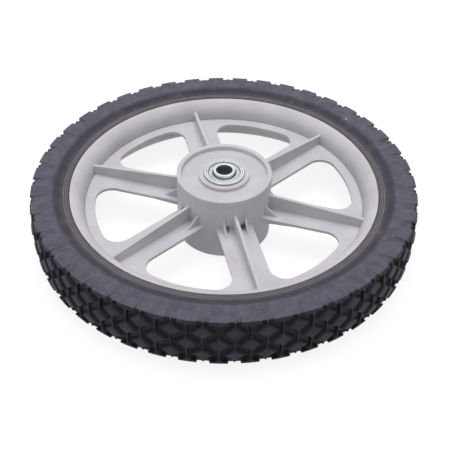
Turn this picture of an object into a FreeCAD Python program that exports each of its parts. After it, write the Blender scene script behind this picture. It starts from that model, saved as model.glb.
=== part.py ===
import FreeCAD, Part
import math
import os
import Sketcher

# A lawn mower wheel, lying flat: a rubber tyre with a diamond tread on a moulded plastic wheel,
# and a flanged ball bearing in each end of the hub. The axle runs along Z. The origin is on the
# axis, in the middle plane of the tyre.

doc = FreeCAD.newDocument("lawn_mower_wheel")

# Driving dimensions, in millimetres and degrees
SIZES = {
    # tyre section
    "tyre_diameter": 304.8,
    "tread_width": 41.9,
    "crown_drop": 1.8,
    "groove_depth": 2.8,
    "notch_depth": 2.1,
    "notch_fade_radius": 136.0,
    "shoulder_flat_radius": 134.4,
    "sidewall_step_radius": 127.4,
    "sidewall_dip": 2.1,
    "sidewall_hollow_radius": 9.0,
    "bead_step": 0.5,
    "bead_band_width": 5.4,
    "tyre_clearance": 0.2,
    # tread blocks
    "blocks_round": 43,
    "diamond_length": 18.8,
    "diamond_width": 14.8,
    "diamond_row_offset": 10.9,
    "block_draft": 28.0,
    "shoulder_nose_offset": 14.4,
    "shoulder_block_length": 13.4,
    "shoulder_block_root": 18.5,
    "tie_rib_thickness": 1.3,
    "tie_rib_height": 2.2,
    "tie_rib_set_back": 0.9,
    "tie_rib_foot": 6.0,
    "shoulder_lap": 1.0,
    "shoulder_lean": 0.35,
    "block_sink": 0.6,
    "tread_turn": 1.2,
    # rim
    "rim_diameter": 241.8,
    "rim_width": 35.4,
    "rim_lip": 1.2,
    "rim_wall": 3.0,
    "rim_bore_diameter": 221.8,
    "rim_land": 10.0,
    # web and spokes
    "web_top": 3.0,
    "web_thickness": 2.4,
    "spoke_count": 6,
    "spoke_width": 28.2,
    "spoke_turn": 43.5,
    "window_outer_radius": 102.3,
    "window_corner_radius": 12.0,
    "rib_thickness": 2.4,
    "rib_height_at_hub": 13.4,
    "rib_height_at_rim": 7.6,
    "gusset_thickness": 1.8,
    "gusset_spacing": 17.4,
    "gusset_height": 8.9,
    "gusset_length": 9.4,
    # hub
    "hub_length": 60.3,
    "hub_offset": 2.3,
    "barrel_diameter": 74.4,
    "barrel_wall": 3.4,
    "barrel_rim_height": 0.8,
    "barrel_foot_height": 0.6,
    "face_depth": 2.7,
    "face_thickness": 3.5,
    "boss_diameter": 39.6,
    "axle_tunnel_diameter": 23.0,
    "hub_rib_thickness": 2.4,
    "hub_rib_foot": 6.0,
    # bearings
    "axle_bore": 12.7,
    "bearing_diameter": 28.6,
    "bearing_width": 11.0,
    "flange_diameter": 31.75,
    "flange_thickness": 1.5,
    "inner_ring_diameter": 17.0,
    "inner_ring_proud": 2.2,
    "outer_land_diameter": 24.6,
    "ball_diameter": 4.76,
    "ball_count": 7,
    "ball_play": 0.06,
    "cage_wall": 1.4,
    "cage_height": 6.4,
    "cage_play": 0.1,
    "shield_thickness": 0.5,
    "shield_recess": 0.6,
    "shield_seat": 0.4,
    "shield_play": 0.05,
    "shield_gap": 0.6,
    "edge_break": 0.4,
    "bearing_clearance": 0.1,
    "bearing_end_clearance": 0.3,
}
sheet = doc.addObject("Spreadsheet::Sheet", "Sizes")
for row, (alias, value) in enumerate(SIZES.items(), start=1):
    sheet.set(f"A{row}", str(value))
    sheet.setAlias(f"A{row}", alias)
doc.recompute()


def value_of(expression):
    """Gives the number that an expression over the sheet comes to."""
    return float(FreeCAD.Units.Quantity(sheet.evalExpression(expression)).Value)


# Features


def new_body(name):
    body = doc.addObject("PartDesign::Body", name)
    body.Label = name
    return body


def datum(body, role):
    return next(feature for feature in body.Origin.OriginFeatures if feature.Role == role)


def attach(feature, support):
    feature.AttachmentSupport = [(support, "")]
    feature.MapMode = "FlatFace"


def new_sketch(body, name, support):
    sketch = body.newObject("Sketcher::SketchObject", name)
    attach(sketch, support)
    return sketch


def offset_plane(feature, axis, angle, shift=("0", "0", "0")):
    """Turns an attached plane about one of its own axes and shifts it, all by expressions."""
    place = FreeCAD.Vector(*(value_of(part) for part in shift))
    turn = FreeCAD.Rotation(FreeCAD.Vector(*axis), value_of(angle))
    feature.AttachmentOffset = FreeCAD.Placement(place, turn)
    feature.setExpression("AttachmentOffset.Rotation.Angle", angle)
    for letter, part in zip("xyz", shift):
        feature.setExpression(f"AttachmentOffset.Base.{letter}", part)


def bind_distance(sketch, kind, geometry, end, expression):
    """Ties one coordinate of a point to an expression, measured from the sketch's origin."""
    amount = value_of(expression)
    axis = -2 if kind == "DistanceX" else -1
    if abs(amount) < 1e-9:
        sketch.addConstraint(Sketcher.Constraint("PointOnObject", geometry, end, axis))
        return
    if amount > 0:
        index = sketch.addConstraint(Sketcher.Constraint(kind, -1, 1, geometry, end, amount))
        sketch.setExpression(f"Constraints[{index}]", expression)
    else:
        index = sketch.addConstraint(Sketcher.Constraint(kind, geometry, end, -1, 1, -amount))
        sketch.setExpression(f"Constraints[{index}]", f"-({expression})")


def outline(sketch, corners):
    """Draws a closed outline through corners. A corner is (x, y), or (x, y, radius, side) where the
    stretch to the next corner is an arc that bulges to the left (1) or right (-1) of the way there."""
    points = [FreeCAD.Vector(value_of(corner[0]), value_of(corner[1]), 0) for corner in corners]
    pieces = []
    for corner, start, finish in zip(corners, points, points[1:] + points[:1]):
        if len(corner) == 2:
            index = sketch.addGeometry(Part.LineSegment(start, finish), False)
            pieces.append((index, 1, 2))
            continue
        radius = value_of(corner[2])
        chord = finish - start
        left = FreeCAD.Vector(-chord.y, chord.x, 0).normalize()
        to_centre = math.sqrt(radius**2 - chord.Length**2 / 4)
        centre = (start + finish) / 2 - left * (to_centre * corner[3])
        first, last = (finish, start) if corner[3] > 0 else (start, finish)
        turns = [math.atan2(end.y - centre.y, end.x - centre.x) for end in (first, last)]
        circle = Part.Circle(centre, FreeCAD.Vector(0, 0, 1), radius)
        index = sketch.addGeometry(Part.ArcOfCircle(circle, *turns), False)
        pieces.append((index, 2, 1) if corner[3] > 0 else (index, 1, 2))
        bound = sketch.addConstraint(Sketcher.Constraint("Radius", index, radius))
        sketch.setExpression(f"Constraints[{bound}]", corner[2])
    for piece, following in zip(pieces, pieces[1:] + pieces[:1]):
        joint = Sketcher.Constraint("Coincident", piece[0], piece[2], following[0], following[1])
        sketch.addConstraint(joint)
    for piece, corner in zip(pieces, corners):
        bind_distance(sketch, "DistanceX", piece[0], piece[1], corner[0])
        bind_distance(sketch, "DistanceY", piece[0], piece[1], corner[1])


def ring_outline(sketch, radius_text, centre=("0", "0")):
    """Draws a circle whose radius and centre are expressions."""
    place = FreeCAD.Vector(value_of(centre[0]), value_of(centre[1]), 0)
    circle = Part.Circle(place, FreeCAD.Vector(0, 0, 1), value_of(radius_text))
    index = sketch.addGeometry(circle, False)
    bound = sketch.addConstraint(Sketcher.Constraint("Radius", index, value_of(radius_text)))
    sketch.setExpression(f"Constraints[{bound}]", radius_text)
    bind_distance(sketch, "DistanceX", index, 3, centre[0])
    bind_distance(sketch, "DistanceY", index, 3, centre[1])


def both_halves(half, closing=()):
    """Completes the upper half of a section with its mirror image below the middle plane. The closing
    stretch runs back up to the first corner, as an arc where its radius and side are given."""
    mirrored = []
    for place, corner in enumerate(half):
        arc = half[place - 1][2:] if place else closing
        mirrored.append((corner[0], f"-({corner[1]})") + arc)
    return half + mirrored[::-1]


def revolve(body, name, sketch, angle="360"):
    """Turns a section about the axle, by the same angle to each side of the sketch's plane."""
    feature = body.newObject("PartDesign::Revolution", name)
    feature.Profile = sketch
    feature.ReferenceAxis = (sketch, ["V_Axis"])
    feature.Midplane = True
    feature.setExpression("Angle", angle)
    feature.Refine = False
    return feature


def extrude(body, name, sketch, length, kind="Pad", symmetric=False, draft=None):
    feature = body.newObject(f"PartDesign::{kind}", name)
    feature.Profile = sketch
    feature.setExpression("Length", length)
    if symmetric:
        feature.SideType = "Symmetric"
    if draft:
        feature.setExpression("TaperAngle", draft)
    feature.Refine = False
    return feature


def repeat_round(body, name, originals, count):
    pattern = body.newObject("PartDesign::PolarPattern", name)
    pattern.Originals = originals
    pattern.Axis = (datum(body, "Z_Axis"), [""])
    pattern.Angle = 360
    pattern.setExpression("Occurrences", count)
    pattern.Refine = False
    body.Tip = pattern
    return pattern


def turn_about_axle(body, angle):
    """Turns a finished piece about the axle to where it stands."""
    body.Placement = FreeCAD.Placement(
        FreeCAD.Vector(), FreeCAD.Rotation(FreeCAD.Vector(0, 0, 1), value_of(angle))
    )
    body.setExpression("Placement.Rotation.Angle", angle)


# Rim channel: the radii and heights that the rim and the tyre's seat share

TYRE_RADIUS = "(Sizes.tyre_diameter / 2)"
RIM_RADIUS = "(Sizes.rim_diameter / 2)"
RIM_EDGE = "(Sizes.rim_width / 2)"
RIM_BORE = "(Sizes.rim_bore_diameter / 2)"
RIM_FLAT = "(Sizes.rim_land / 2)"
FLARE_RISE = f"({RIM_EDGE} - {RIM_FLAT})"
FLARE_RUN = f"({RIM_RADIUS} - Sizes.rim_lip - {RIM_BORE})"
FLARE_ARC = f"(({FLARE_RISE}^2 + {FLARE_RUN}^2) / (2 * {FLARE_RUN}))"


def channel_side(clearance):
    """Gives the outer side of the rim channel, from its edge to its floor, set off by a clearance."""
    arc = f"({FLARE_ARC} - Sizes.rim_wall - {clearance})"
    edge = f"({RIM_RADIUS} + {clearance})"
    floor = f"({RIM_BORE} + Sizes.rim_wall + {clearance})"
    reach = f"({floor} + {arc} - {edge})"
    knee = f"({RIM_FLAT} + sqrt({arc}^2 - {reach}^2))"
    return edge, knee, floor, arc


# Tyre: one pitch of the tread is modelled on its slice of the carcass, trimmed and carried round.
# Columns of blocks alternate. The middle diamond and the shoulder blocks stand on one column, and
# the two outer rows of diamonds stand on the columns half a pitch to each side of it.

PITCH = "(360 / Sizes.blocks_round)"
HALF_PITCH = "(180 / Sizes.blocks_round)"
HALF_TREAD = "(Sizes.tread_width / 2)"
CROWN_ARC = f"(({HALF_TREAD}^2 + Sizes.crown_drop^2) / (2 * Sizes.crown_drop))"
FLOOR_ARC = f"({CROWN_ARC} - Sizes.groove_depth)"
NOTCH_HEIGHT = f"({HALF_TREAD} - Sizes.notch_depth)"


def crown_at(height, rise="0"):
    """Gives the radius of the tread's floor, plus a rise, at a height above the middle plane."""
    arc = f"({FLOOR_ARC} + {rise})"
    return f"({TYRE_RADIUS} - Sizes.groove_depth + {rise} - {arc} + sqrt({arc}^2 - ({height})^2))"


tyre_pitch = new_body("tyre_pitch")
across = datum(tyre_pitch, "YZ_Plane")
along = datum(tyre_pitch, "XZ_Plane")
seat_edge, seat_knee, seat_floor, seat_arc = channel_side("Sizes.tyre_clearance")
hollow_height = f"({HALF_TREAD} - Sizes.sidewall_dip)"
carcass_half = [
    (crown_at(NOTCH_HEIGHT), NOTCH_HEIGHT),
    ("Sizes.notch_fade_radius", HALF_TREAD),
    ("Sizes.shoulder_flat_radius", HALF_TREAD, "Sizes.sidewall_hollow_radius", 1),
    ("Sizes.sidewall_step_radius", hollow_height),
    (f"{RIM_RADIUS} + Sizes.bead_band_width", f"{hollow_height} - Sizes.bead_step"),
    (seat_edge, RIM_EDGE),
    (seat_edge, seat_knee, seat_arc, -1),
    (seat_floor, RIM_FLAT),
]
carcass = new_sketch(tyre_pitch, "carcass_section", along)
outline(carcass, both_halves(carcass_half, closing=(FLOOR_ARC, -1)))
revolve(tyre_pitch, "carcass_slice", carcass, angle=f"2 * {PITCH}")


def tread_block(name, turn, side, height, corners):
    """Raises a drafted block square to the crown on the column at a turn. Its outline is drawn about
    a point at a height above (side 1) or below (side -1) the middle plane, or on it (side 0)."""
    column = tyre_pitch.newObject("PartDesign::Plane", f"{name}_column")
    attach(column, across)
    offset_plane(column, (0, 1, 0), turn)
    reach = f"({FLOOR_ARC} - Sizes.block_sink)"
    tilt = f"asin(({height}) / {CROWN_ARC})"
    radius = f"{TYRE_RADIUS} - {CROWN_ARC} + {reach} * cos({tilt})"
    rise = f"{side} * {reach} * ({height}) / {CROWN_ARC}"
    sketch = new_sketch(tyre_pitch, f"{name}_outline", column)
    offset_plane(sketch, (-side if side else 1, 0, 0), tilt, ("0", rise, radius))
    outline(sketch, corners)
    depth = "Sizes.groove_depth + Sizes.block_sink"
    extrude(tyre_pitch, name, sketch, depth, draft="-Sizes.block_draft")


diamond = [
    ("Sizes.diamond_length / 2", "0"),
    ("0", "Sizes.diamond_width / 2"),
    ("-Sizes.diamond_length / 2", "0"),
    ("0", "-Sizes.diamond_width / 2"),
]
nose_middle = f"((Sizes.shoulder_nose_offset + {HALF_TREAD}) / 2)"
nose_reach = f"({HALF_TREAD} - Sizes.tie_rib_set_back - Sizes.shoulder_nose_offset)"
nose_half_length = f"({nose_reach} * Sizes.diamond_length / Sizes.diamond_width)"
tread_block("middle_diamond", "0", 0, "0", diamond)
for side, level in ((1, "upper"), (-1, "lower")):
    tip = f"{side} * (Sizes.shoulder_nose_offset - {nose_middle})"
    back = f"{side} * (Sizes.shoulder_nose_offset + {nose_reach} - {nose_middle})"
    nose = [("0", tip), (nose_half_length, back), (f"-{nose_half_length}", back)]
    tread_block(f"{level}_shoulder_nose", "0", side, nose_middle, nose)
    for turn, hand in ((HALF_PITCH, "left"), (f"-{HALF_PITCH}", "right")):
        tread_block(f"{level}_{hand}_diamond", turn, side, "Sizes.diamond_row_offset", diamond)

# The outer part of each shoulder block runs round the corner and fades into the sidewall.
root_height = "(Sizes.shoulder_block_root - Sizes.notch_depth)"
shoulder = new_sketch(tyre_pitch, "shoulder_block_section", along)
for side in (1, -1):
    shoulder_corners = [
        ("Sizes.notch_fade_radius - Sizes.shoulder_lap", f"{HALF_TREAD} - Sizes.shoulder_lean"),
        (f"{TYRE_RADIUS} - Sizes.crown_drop", HALF_TREAD),
        (crown_at("Sizes.shoulder_block_root", "Sizes.groove_depth"), "Sizes.shoulder_block_root"),
        (f"{crown_at(root_height)} - Sizes.notch_depth", root_height),
    ]
    outline(shoulder, [(radius, f"{side} * ({height})") for radius, height in shoulder_corners])
extrude(tyre_pitch, "shoulder_blocks", shoulder, "Sizes.shoulder_block_length", symmetric=True)

# Thin ribs along each column tie the blocks together, point to point.
rib_end = f"({HALF_TREAD} - Sizes.tie_rib_set_back)"
rib_root = f"({HALF_TREAD} - 2 * Sizes.notch_depth)"
tie_rib_half = [
    (crown_at(rib_end, "Sizes.tie_rib_height"), rib_end),
    ("Sizes.notch_fade_radius + Sizes.tie_rib_foot", NOTCH_HEIGHT),
    (f"{crown_at(rib_root)} - Sizes.notch_depth", rib_root),
]
tie_rib_arc = (f"{FLOOR_ARC} + Sizes.tie_rib_height", -1)
for turn, hand in (("0", "middle"), (HALF_PITCH, "left"), (f"-{HALF_PITCH}", "right")):
    section = new_sketch(tyre_pitch, f"{hand}_tie_rib_section", along)
    offset_plane(section, (0, 1, 0), turn)
    outline(section, both_halves(tie_rib_half, closing=tie_rib_arc))
    extrude(tyre_pitch, f"{hand}_tie_rib", section, "Sizes.tie_rib_thickness", symmetric=True)

wedge = doc.addObject("Part::Cylinder", "pitch_wedge")
wedge.Placement.Rotation = FreeCAD.Rotation(FreeCAD.Vector(0, 0, -1), value_of(HALF_PITCH))
wedge.setExpression("Radius", "Sizes.tyre_diameter")
wedge.setExpression("Height", "2 * Sizes.tread_width")
wedge.setExpression("Angle", PITCH)
wedge.setExpression("Placement.Base.z", "-Sizes.tread_width")
wedge.setExpression("Placement.Rotation.Angle", HALF_PITCH)
trimmed_pitch = doc.addObject("Part::Common", "trimmed_pitch")
trimmed_pitch.Base = tyre_pitch
trimmed_pitch.Tool = wedge
doc.recompute()


def is_trimmed(face):
    """Says whether a face lies in a plane through the axle, as the two trimmed sides of a pitch do."""
    if not isinstance(face.Surface, Part.Plane):
        return False
    normal = face.Surface.Axis
    return abs(normal.z) < 1e-6 and abs(normal.dot(face.CenterOfMass)) < 1e-4


def carried_round(solid, count):
    """Carries one pitch round the axle and sews the skins of all the copies into one solid."""
    skin = Part.Compound([face for face in solid.Faces if not is_trimmed(face)])
    copies = []
    for number in range(count):
        copy = skin.copy()
        copy.rotate(FreeCAD.Vector(), FreeCAD.Vector(0, 0, 1), number * 360 / count)
        copies.append(copy)
    ring = Part.Compound(copies)
    ring.sewShape()
    return Part.Solid(ring.Shells[0])


tyre = doc.addObject("Part::Feature", "tyre")
tyre.Label = "tyre"
tyre.Shape = carried_round(trimmed_pitch.Shape, int(sheet.blocks_round))
tyre.Placement = FreeCAD.Placement(
    FreeCAD.Vector(), FreeCAD.Rotation(FreeCAD.Vector(0, 0, 1), sheet.tread_turn)
)

# Wheel: one plastic moulding. The web with its windows comes first, then the rim, hub and ribs.

WEB_BOTTOM = "(Sizes.web_top - Sizes.web_thickness)"
HALF_SPOKE = "(Sizes.spoke_width / 2)"
BARREL_RADIUS = "(Sizes.barrel_diameter / 2)"
BARREL_BORE = f"({BARREL_RADIUS} - Sizes.barrel_wall)"
IN_BARREL = f"({BARREL_RADIUS} - Sizes.barrel_wall / 2)"
IN_RIM = f"({RIM_BORE} + Sizes.rim_wall / 2)"
HUB_TOP = "(Sizes.hub_offset + Sizes.hub_length / 2)"
HUB_FOOT = "(Sizes.hub_offset - Sizes.hub_length / 2)"
FLANGE_STACK = "(Sizes.inner_ring_proud + Sizes.flange_thickness)"
UPPER_SEAT = f"({HUB_TOP} - {FLANGE_STACK})"
LOWER_SEAT = f"({HUB_FOOT} + {FLANGE_STACK})"
SEAT_RADIUS = "(Sizes.bearing_diameter / 2 + Sizes.bearing_clearance)"
SEAT_DEPTH = "(Sizes.bearing_width - Sizes.flange_thickness + Sizes.bearing_end_clearance)"

wheel = new_body("wheel")
web_ring = new_sketch(wheel, "web_ring", datum(wheel, "XY_Plane"))
offset_plane(web_ring, (0, 0, 1), "0", ("0", "0", WEB_BOTTOM))
ring_outline(web_ring, IN_RIM)
ring_outline(web_ring, IN_BARREL)
extrude(wheel, "web", web_ring, "Sizes.web_thickness")

# A window lies between two spokes. Its sides run along the spokes, its outer corners are rounded, and
# its inner end is open to the barrel. The second half mirrors the first across the window's middle.
corner_centre = "(Sizes.window_outer_radius - Sizes.window_corner_radius)"
corner_off = f"({HALF_SPOKE} + Sizes.window_corner_radius)"
corner_along = f"sqrt({corner_centre}^2 - {corner_off}^2)"
corner_stretch = f"(Sizes.window_outer_radius / {corner_centre})"
barrel_along = f"sqrt(({BARREL_BORE})^2 - {HALF_SPOKE}^2)"
window_half = [
    (barrel_along, HALF_SPOKE),
    (corner_along, HALF_SPOKE, "Sizes.window_corner_radius", -1),
    (f"{corner_along} * {corner_stretch}", f"{corner_off} * {corner_stretch}"),
]
SPOKE_STEP = "(360 / Sizes.spoke_count)"
window_corners = list(window_half)
window_corners[-1] += ("Sizes.window_outer_radius", -1)
for place in (2, 1, 0):
    x, y = window_half[place][:2]
    arc = window_half[1][2:] if place == 2 else ()
    mirror_x = f"({x}) * cos({SPOKE_STEP}) + ({y}) * sin({SPOKE_STEP})"
    mirror_y = f"({x}) * sin({SPOKE_STEP}) - ({y}) * cos({SPOKE_STEP})"
    window_corners.append((mirror_x, mirror_y) + arc)
window = new_sketch(wheel, "window_outline", datum(wheel, "XY_Plane"))
outline(window, window_corners)
window_depth = "2 * (Sizes.web_top + Sizes.web_thickness)"
window_cut = extrude(wheel, "window", window, window_depth, kind="Pocket", symmetric=True)
repeat_round(wheel, "windows", [window_cut], "Sizes.spoke_count")

rim_edge, rim_knee, rim_floor, rim_arc = channel_side("0")
rim_half = [
    (rim_floor, RIM_FLAT, rim_arc, 1),
    (rim_edge, rim_knee),
    (rim_edge, RIM_EDGE),
    (f"{RIM_RADIUS} - Sizes.rim_lip", RIM_EDGE, FLARE_ARC, -1),
    (RIM_BORE, RIM_FLAT),
]
rim_section = new_sketch(wheel, "rim_section", datum(wheel, "XZ_Plane"))
outline(rim_section, both_halves(rim_half))
revolve(wheel, "rim", rim_section)

barrel_top = f"({UPPER_SEAT} + Sizes.barrel_rim_height)"
face_top = f"({UPPER_SEAT} - Sizes.face_depth)"
face_bottom = f"({face_top} - Sizes.face_thickness)"
hub_section = new_sketch(wheel, "hub_section", datum(wheel, "XZ_Plane"))
hub_corners = [
    (BARREL_RADIUS, barrel_top),
    (BARREL_BORE, barrel_top),
    (BARREL_BORE, face_top),
    ("Sizes.boss_diameter / 2", face_top),
    ("Sizes.boss_diameter / 2", UPPER_SEAT),
    (SEAT_RADIUS, UPPER_SEAT),
    (SEAT_RADIUS, f"{UPPER_SEAT} - {SEAT_DEPTH}"),
    ("Sizes.axle_tunnel_diameter / 2", f"{UPPER_SEAT} - {SEAT_DEPTH}"),
    ("Sizes.axle_tunnel_diameter / 2", f"{LOWER_SEAT} + {SEAT_DEPTH}"),
    (SEAT_RADIUS, f"{LOWER_SEAT} + {SEAT_DEPTH}"),
    (SEAT_RADIUS, LOWER_SEAT),
    ("Sizes.boss_diameter / 2", LOWER_SEAT),
    ("Sizes.boss_diameter / 2", face_bottom),
    (BARREL_BORE, face_bottom),
    (BARREL_BORE, f"{LOWER_SEAT} - Sizes.barrel_foot_height"),
    (BARREL_RADIUS, f"{LOWER_SEAT} - Sizes.barrel_foot_height"),
]
outline(hub_section, hub_corners)
revolve(wheel, "hub", hub_section)

# Each spoke has a tapering rib down its middle, above and below the web. In line with it, a rib under
# the hub's face joins the bearing tube to the barrel.
spoke_rib_section = new_sketch(wheel, "spoke_rib_section", datum(wheel, "XZ_Plane"))
spoke_rib = [
    (IN_BARREL, "Sizes.web_top + Sizes.rib_height_at_hub"),
    (IN_RIM, "Sizes.web_top + Sizes.rib_height_at_rim"),
    (IN_RIM, f"{WEB_BOTTOM} - Sizes.rib_height_at_rim"),
    (IN_BARREL, f"{WEB_BOTTOM} - Sizes.rib_height_at_hub"),
]
outline(spoke_rib_section, spoke_rib)
ribs = [extrude(wheel, "spoke_rib", spoke_rib_section, "Sizes.rib_thickness", symmetric=True)]
hub_rib_section = new_sketch(wheel, "hub_rib_section", datum(wheel, "XZ_Plane"))
in_tube = f"((Sizes.boss_diameter / 2 + {SEAT_RADIUS}) / 2)"
hub_rib = [
    (in_tube, f"{face_bottom} + Sizes.face_thickness / 2"),
    (IN_BARREL, f"{face_bottom} + Sizes.face_thickness / 2"),
    (IN_BARREL, f"{LOWER_SEAT} + Sizes.hub_rib_foot"),
    (in_tube, f"{LOWER_SEAT} + Sizes.hub_rib_foot"),
]
outline(hub_rib_section, hub_rib)
ribs.append(extrude(wheel, "hub_rib", hub_rib_section, "Sizes.hub_rib_thickness", symmetric=True))

# Two small gussets on each spoke brace the barrel on either side of the rib.
gusset_foot = f"({BARREL_RADIUS} + Sizes.gusset_length)"
gusset = [
    (IN_BARREL, "Sizes.web_top + Sizes.gusset_height"),
    (gusset_foot, "Sizes.web_top"),
    (gusset_foot, "Sizes.web_top - Sizes.web_thickness / 2"),
    (IN_BARREL, "Sizes.web_top - Sizes.web_thickness / 2"),
]
for side, hand in ((1, "left"), (-1, "right")):
    sketch = new_sketch(wheel, f"{hand}_gusset_section", datum(wheel, "XZ_Plane"))
    offset_plane(sketch, (0, 0, 1), "0", ("0", "0", f"{side} * Sizes.gusset_spacing / 2"))
    outline(sketch, gusset)
    ribs.append(extrude(wheel, f"{hand}_gusset", sketch, "Sizes.gusset_thickness", symmetric=True))
repeat_round(wheel, "ribs_and_gussets", ribs, "Sizes.spoke_count")
turn_about_axle(wheel, "Sizes.spoke_turn")

# Bearings: each is modelled with its flange's outer face at height 0 and the ring below it. The lower
# one is the same bearing turned over.

BORE_RADIUS = "(Sizes.axle_bore / 2)"
INNER_LAND = "(Sizes.inner_ring_diameter / 2)"
OUTER_LAND = "(Sizes.outer_land_diameter / 2)"
BALL_PITCH_RADIUS = f"(({INNER_LAND} + {OUTER_LAND}) / 2)"
BALL_DEPTH = "(Sizes.bearing_width / 2)"
RACE_ARC = "(Sizes.ball_diameter / 2 + Sizes.ball_play)"
RACE_HALF_WIDTH = f"sqrt({RACE_ARC}^2 - ({OUTER_LAND} - {BALL_PITCH_RADIUS})^2)"
SHIELD_SEAT_DEPTH = "(Sizes.shield_recess + Sizes.shield_thickness)"
SHIELD_SEAT_RADIUS = f"({OUTER_LAND} + Sizes.shield_seat)"
RING_FOOT = "(-Sizes.bearing_width)"
RACE_TOP = f"(-{BALL_DEPTH} + {RACE_HALF_WIDTH})"
RACE_FOOT = f"(-{BALL_DEPTH} - {RACE_HALF_WIDTH})"
FLANGE_RADIUS = "(Sizes.flange_diameter / 2)"

outer_ring_section = [
    (SHIELD_SEAT_RADIUS, "0"),
    (f"{FLANGE_RADIUS} - Sizes.edge_break", "0"),
    (FLANGE_RADIUS, "-Sizes.edge_break"),
    (FLANGE_RADIUS, "-Sizes.flange_thickness"),
    ("Sizes.bearing_diameter / 2", "-Sizes.flange_thickness"),
    ("Sizes.bearing_diameter / 2", RING_FOOT),
    (SHIELD_SEAT_RADIUS, RING_FOOT),
    (SHIELD_SEAT_RADIUS, f"{RING_FOOT} + {SHIELD_SEAT_DEPTH}"),
    (OUTER_LAND, f"{RING_FOOT} + {SHIELD_SEAT_DEPTH}"),
    (OUTER_LAND, RACE_FOOT, RACE_ARC, -1),
    (OUTER_LAND, RACE_TOP),
    (OUTER_LAND, f"-{SHIELD_SEAT_DEPTH}"),
    (SHIELD_SEAT_RADIUS, f"-{SHIELD_SEAT_DEPTH}"),
]
inner_ring_section = [
    (f"{BORE_RADIUS} + Sizes.edge_break", "Sizes.inner_ring_proud"),
    (f"{INNER_LAND} - Sizes.edge_break", "Sizes.inner_ring_proud"),
    (INNER_LAND, "Sizes.inner_ring_proud - Sizes.edge_break"),
    (INNER_LAND, RACE_TOP, RACE_ARC, -1),
    (INNER_LAND, RACE_FOOT),
    (INNER_LAND, RING_FOOT),
    (f"{BORE_RADIUS} + Sizes.edge_break", RING_FOOT),
    (BORE_RADIUS, f"{RING_FOOT} + Sizes.edge_break"),
    (BORE_RADIUS, "Sizes.inner_ring_proud - Sizes.edge_break"),
]


def shield_section(top):
    """Gives the section of a flat shield whose upper face is at a height."""
    inner = f"{INNER_LAND} + Sizes.shield_gap"
    outer = f"{SHIELD_SEAT_RADIUS} - Sizes.shield_play"
    bottom = f"{top} - Sizes.shield_thickness"
    return [(inner, top), (outer, top), (outer, bottom), (inner, bottom)]


cage_inner = f"({BALL_PITCH_RADIUS} - Sizes.cage_wall / 2)"
cage_outer = f"({BALL_PITCH_RADIUS} + Sizes.cage_wall / 2)"
cage_top = f"(Sizes.cage_height / 2 - {BALL_DEPTH})"
cage_foot = f"(-Sizes.cage_height / 2 - {BALL_DEPTH})"
cage_section = [
    (cage_inner, cage_top),
    (cage_outer, cage_top),
    (cage_outer, cage_foot),
    (cage_inner, cage_foot),
]


def seat_in_hub(piece, side):
    """Puts a bearing piece at its end of the hub, turned over at the lower one."""
    face = f"{side} * (Sizes.hub_length / 2 - Sizes.inner_ring_proud) + Sizes.hub_offset"
    turn = FreeCAD.Rotation(FreeCAD.Vector(1, 0, 0), 0 if side > 0 else 180)
    piece.Placement = FreeCAD.Placement(FreeCAD.Vector(0, 0, value_of(face)), turn)
    piece.setExpression("Placement.Base.z", face)


def turned_piece(name, side, section):
    body = new_body(name)
    sketch = new_sketch(body, f"{name}_section", datum(body, "XZ_Plane"))
    outline(sketch, section)
    revolve(body, f"{name}_turned", sketch)
    seat_in_hub(body, side)
    return body


nodes = [tyre, wheel]
for side, end in ((1, "upper"), (-1, "lower")):
    inward_shield_top = f"{RING_FOOT} + {SHIELD_SEAT_DEPTH}"
    nodes.append(turned_piece(f"{end}_outer_ring", side, outer_ring_section))
    nodes.append(turned_piece(f"{end}_inner_ring", side, inner_ring_section))
    nodes.append(turned_piece(f"{end}_outer_shield", side, shield_section("-Sizes.shield_recess")))
    nodes.append(turned_piece(f"{end}_inner_shield", side, shield_section(inward_shield_top)))

    cage = turned_piece(f"{end}_ball_cage", side, cage_section)
    pocket_sketch = new_sketch(cage, f"{end}_ball_pocket_outline", datum(cage, "XZ_Plane"))
    ring_outline(pocket_sketch, "Sizes.ball_diameter / 2 + Sizes.cage_play", ("0", f"-{BALL_DEPTH}"))
    pocket = extrude(cage, f"{end}_ball_pocket", pocket_sketch, f"2 * {cage_outer}", kind="Pocket")
    repeat_round(cage, f"{end}_ball_pockets", [pocket], "Sizes.ball_count")
    nodes.append(cage)

    for number in range(int(sheet.ball_count)):
        ball = doc.addObject("Part::Sphere", f"{end}_ball_{number + 1}")
        ball.Label = ball.Name
        ball.setExpression("Radius", "Sizes.ball_diameter / 2")
        turn = f"({side} * (90 + {number} * 360 / Sizes.ball_count))"
        height = f"{side} * (Sizes.hub_length / 2 - Sizes.inner_ring_proud - {BALL_DEPTH})"
        ball.setExpression("Placement.Base.x", f"{BALL_PITCH_RADIUS} * cos({turn})")
        ball.setExpression("Placement.Base.y", f"{BALL_PITCH_RADIUS} * sin({turn})")
        ball.setExpression("Placement.Base.z", f"{height} + Sizes.hub_offset")
        nodes.append(ball)
doc.recompute()

# Check every feature and every finished piece, then write one file for each piece
faults = [item.Name for item in doc.Objects if {"Invalid", "Error"} & set(item.State)]
for node in nodes:
    if node.Shape.isNull() or not node.Shape.isValid() or len(node.Shape.Solids) != 1:
        faults.append(node.Label)
if faults:
    raise RuntimeError("not built: " + ", ".join(faults))
os.makedirs("parts", exist_ok=True)
for node in nodes:
    node.Shape.exportStep(f"parts/{node.Label}.step")
    print(f"{node.Label}: {node.Shape.Volume:.1f} cubic millimetres")
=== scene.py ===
import bmesh
import bpy
import numpy as np
from mathutils import Matrix, Vector


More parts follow.
